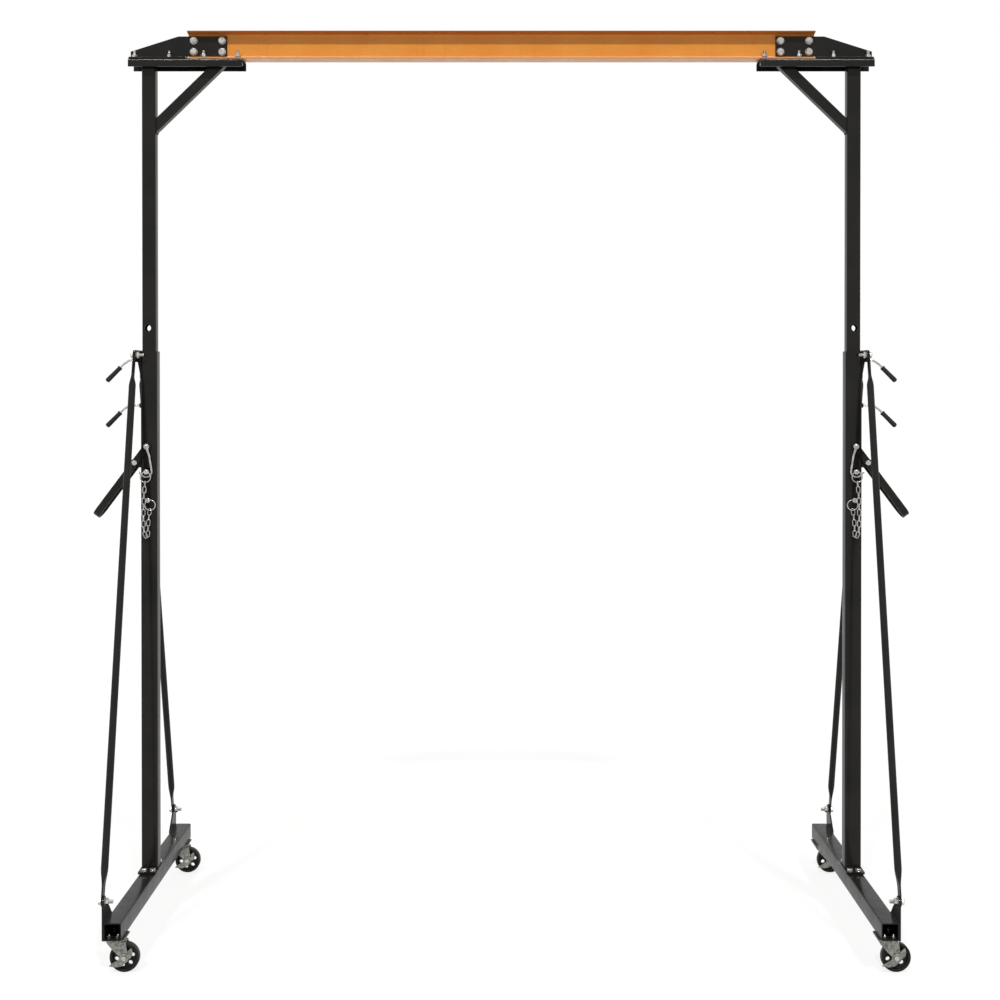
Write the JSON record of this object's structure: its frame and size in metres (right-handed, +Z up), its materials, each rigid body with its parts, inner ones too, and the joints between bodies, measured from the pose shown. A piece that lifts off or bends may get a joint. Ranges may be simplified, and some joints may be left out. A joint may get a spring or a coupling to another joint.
{
  "type": "portable gantry crane",
  "caption": "Height-adjustable portable gantry crane: I-beam on telescopic masts with pinned jack levers, braced base beams and braked swivel casters.",
  "frame": {"origin": "on the floor under the middle of the beam", "axes": "+X along the beam, +Y towards the rear, +Z up"},
  "size_m": [3.0206, 1.214, 3.279],
  "materials": {
    "beam_paint": "gloss orange powder coat",
    "frame_paint": "satin black powder coat",
    "zinc": "bright zinc plating",
    "grip": "black plastic",
    "wheel_steel": "black wheel"
  },
  "bodies": {
    "top_frame": {"i_beam": "beam_paint", "left_head_channel": "frame_paint", "left_gusset_front": "frame_paint", "left_gusset_rear": "frame_paint", "left_knee_brace": "frame_paint", "left_inner_mast": "frame_paint", "right_head_channel": "frame_paint", "right_gusset_front": "frame_paint", "right_gusset_rear": "frame_paint", "right_knee_brace": "frame_paint", "right_inner_mast": "frame_paint"},
    "left_base": {"left_outer_mast": "frame_paint", "left_base_beam": "frame_paint", "left_brace_front": "frame_paint", "left_brace_rear": "frame_paint", "caster_front_left_plate": "zinc", "caster_rear_left_plate": "zinc", "left_pin_chain": "zinc"},
    "right_base": {"right_outer_mast": "frame_paint", "right_base_beam": "frame_paint", "right_brace_front": "frame_paint", "right_brace_rear": "frame_paint", "caster_front_right_plate": "zinc", "caster_rear_right_plate": "zinc", "right_pin_chain": "zinc"},
    "left_lever": {"left_jack_lever": "frame_paint"},
    "left_hooks": {"left_hook_front": "zinc", "left_hook_rear": "zinc"},
    "left_lift_pin_body": {"left_lift_pin": "zinc"},
    "left_lock_pin_body": {"left_lock_pin": "zinc"},
    "left_clamp_upper_body": {"left_clamp_upper": "zinc", "left_clamp_upper_grip": "grip"},
    "left_clamp_lower_body": {"left_clamp_lower": "zinc", "left_clamp_lower_grip": "grip"},
    "right_lever": {"right_jack_lever": "frame_paint"},
    "right_hooks": {"right_hook_front": "zinc", "right_hook_rear": "zinc"},
    "right_lift_pin_body": {"right_lift_pin": "zinc"},
    "right_lock_pin_body": {"right_lock_pin": "zinc"},
    "right_clamp_upper_body": {"right_clamp_upper": "zinc", "right_clamp_upper_grip": "grip"},
    "right_clamp_lower_body": {"right_clamp_lower": "zinc", "right_clamp_lower_grip": "grip"},
    "caster_front_left_swivel_body": {"caster_front_left_fork": "zinc", "caster_front_left_axle": "zinc"},
    "caster_front_left_wheel_body": {"caster_front_left_wheel": "wheel_steel"},
    "caster_front_left_pedal_body": {"caster_front_left_pedal": "zinc"},
    "caster_front_right_swivel_body": {"caster_front_right_fork": "zinc", "caster_front_right_axle": "zinc"},
    "caster_front_right_wheel_body": {"caster_front_right_wheel": "wheel_steel"},
    "caster_front_right_pedal_body": {"caster_front_right_pedal": "zinc"},
    "caster_rear_left_swivel_body": {"caster_rear_left_fork": "zinc", "caster_rear_left_axle": "zinc"},
    "caster_rear_left_wheel_body": {"caster_rear_left_wheel": "wheel_steel"},
    "caster_rear_left_pedal_body": {"caster_rear_left_pedal": "zinc"},
    "caster_rear_right_swivel_body": {"caster_rear_right_fork": "zinc", "caster_rear_right_axle": "zinc"},
    "caster_rear_right_wheel_body": {"caster_rear_right_wheel": "wheel_steel"},
    "caster_rear_right_pedal_body": {"caster_rear_right_pedal": "zinc"}
  },
  "joints": [
    {"name": "left_lift", "type": "slide", "parent": "left_base", "child": "top_frame", "axis": [0, 0, 1], "range_m": [-0.424, 0.318]},
    {"name": "right_lift", "type": "slide", "parent": "top_frame", "child": "right_base", "axis": [0, 0, -1], "range_m": [-0.424, 0.318]},
    {"name": "left_jack", "type": "hinge", "parent": "left_base", "child": "left_lever", "pos_m": [-1.351, 0, 1.689], "axis": [0, 1, 0], "range_deg": [0, 60]},
    {"name": "left_hook_swing", "type": "hinge", "parent": "left_lever", "child": "left_hooks", "pos_m": [-1.306, 0, 1.74893], "axis": [0, 1, 0], "range_deg": [-60, 0]},
    {"name": "left_lift_pin_pull", "type": "slide", "parent": "left_base", "child": "left_lift_pin_body", "axis": [0, -1, 0], "range_m": [0, 0.112], "deforming": ["left_pin_chain"]},
    {"name": "left_lock_pin_pull", "type": "slide", "parent": "left_base", "child": "left_lock_pin_body", "axis": [0, -1, 0], "range_m": [0, 0.112], "deforming": ["left_pin_chain"]},
    {"name": "left_clamp_upper_turn", "type": "hinge", "parent": "left_base", "child": "left_clamp_upper_body", "pos_m": [-1.3, 0, 2.067], "axis": [-1, 0, 0], "range_deg": [0, 540]},
    {"name": "left_clamp_lower_turn", "type": "hinge", "parent": "left_base", "child": "left_clamp_lower_body", "pos_m": [-1.3, 0, 1.9], "axis": [-1, 0, 0], "range_deg": [0, 540]},
    {"name": "right_jack", "type": "hinge", "parent": "right_base", "child": "right_lever", "pos_m": [1.351, 0, 1.689], "axis": [0, -1, 0], "range_deg": [0, 60]},
    {"name": "right_hook_swing", "type": "hinge", "parent": "right_lever", "child": "right_hooks", "pos_m": [1.306, 0, 1.74893], "axis": [0, -1, 0], "range_deg": [-60, 0]},
    {"name": "right_lift_pin_pull", "type": "slide", "parent": "right_base", "child": "right_lift_pin_body", "axis": [0, -1, 0], "range_m": [0, 0.112], "deforming": ["right_pin_chain"]},
    {"name": "right_lock_pin_pull", "type": "slide", "parent": "right_base", "child": "right_lock_pin_body", "axis": [0, -1, 0], "range_m": [0, 0.112], "deforming": ["right_pin_chain"]},
    {"name": "right_clamp_upper_turn", "type": "hinge", "parent": "right_base", "child": "right_clamp_upper_body", "pos_m": [1.3, 0, 2.067], "axis": [1, 0, 0], "range_deg": [0, 540]},
    {"name": "right_clamp_lower_turn", "type": "hinge", "parent": "right_base", "child": "right_clamp_lower_body", "pos_m": [1.3, 0, 1.9], "axis": [1, 0, 0], "range_deg": [0, 540]},
    {"name": "caster_front_left_swivel", "type": "hinge", "parent": "left_base", "child": "caster_front_left_swivel_body", "pos_m": [-1.3, -0.551, 0.105], "axis": [0, 0, 1], "continuous": true},
    {"name": "caster_front_left_spin", "type": "hinge", "parent": "caster_front_left_swivel_body", "child": "caster_front_left_wheel_body", "pos_m": [-1.27, -0.551, 0.05], "axis": [0, 1, 0], "continuous": true},
    {"name": "caster_front_left_brake", "type": "hinge", "parent": "caster_front_left_swivel_body", "child": "caster_front_left_pedal_body", "pos_m": [-1.27, -0.551, 0.05], "axis": [0, 1, 0], "range_deg": [0, 20]},
    {"name": "caster_front_right_swivel", "type": "hinge", "parent": "right_base", "child": "caster_front_right_swivel_body", "pos_m": [1.3, -0.551, 0.105], "axis": [0, 0, 1], "continuous": true},
    {"name": "caster_front_right_spin", "type": "hinge", "parent": "caster_front_right_swivel_body", "child": "caster_front_right_wheel_body", "pos_m": [1.33, -0.551, 0.05], "axis": [0, 1, 0], "continuous": true},
    {"name": "caster_front_right_brake", "type": "hinge", "parent": "caster_front_right_swivel_body", "child": "caster_front_right_pedal_body", "pos_m": [1.33, -0.551, 0.05], "axis": [0, 1, 0], "range_deg": [0, 20]},
    {"name": "caster_rear_left_swivel", "type": "hinge", "parent": "left_base", "child": "caster_rear_left_swivel_body", "pos_m": [-1.3, 0.551, 0.105], "axis": [0, 0, 1], "continuous": true},
    {"name": "caster_rear_left_spin", "type": "hinge", "parent": "caster_rear_left_swivel_body", "child": "caster_rear_left_wheel_body", "pos_m": [-1.27, 0.551, 0.05], "axis": [0, 1, 0], "continuous": true},
    {"name": "caster_rear_left_brake", "type": "hinge", "parent": "caster_rear_left_swivel_body", "child": "caster_rear_left_pedal_body", "pos_m": [-1.27, 0.551, 0.05], "axis": [0, 1, 0], "range_deg": [0, 20]},
    {"name": "caster_rear_right_swivel", "type": "hinge", "parent": "right_base", "child": "caster_rear_right_swivel_body", "pos_m": [1.3, 0.551, 0.105], "axis": [0, 0, 1], "continuous": true},
    {"name": "caster_rear_right_spin", "type": "hinge", "parent": "caster_rear_right_swivel_body", "child": "caster_rear_right_wheel_body", "pos_m": [1.33, 0.551, 0.05], "axis": [0, 1, 0], "continuous": true},
    {"name": "caster_rear_right_brake", "type": "hinge", "parent": "caster_rear_right_swivel_body", "child": "caster_rear_right_pedal_body", "pos_m": [1.33, 0.551, 0.05], "axis": [0, 1, 0], "range_deg": [0, 20]}
  ],
  "couplings": [
    {"joint": "right_lift", "follows": "left_lift", "ratio": 1},
    {"joint": "left_hook_swing", "follows": "left_jack", "ratio": -1},
    {"joint": "right_hook_swing", "follows": "right_jack", "ratio": -1}
  ]
}
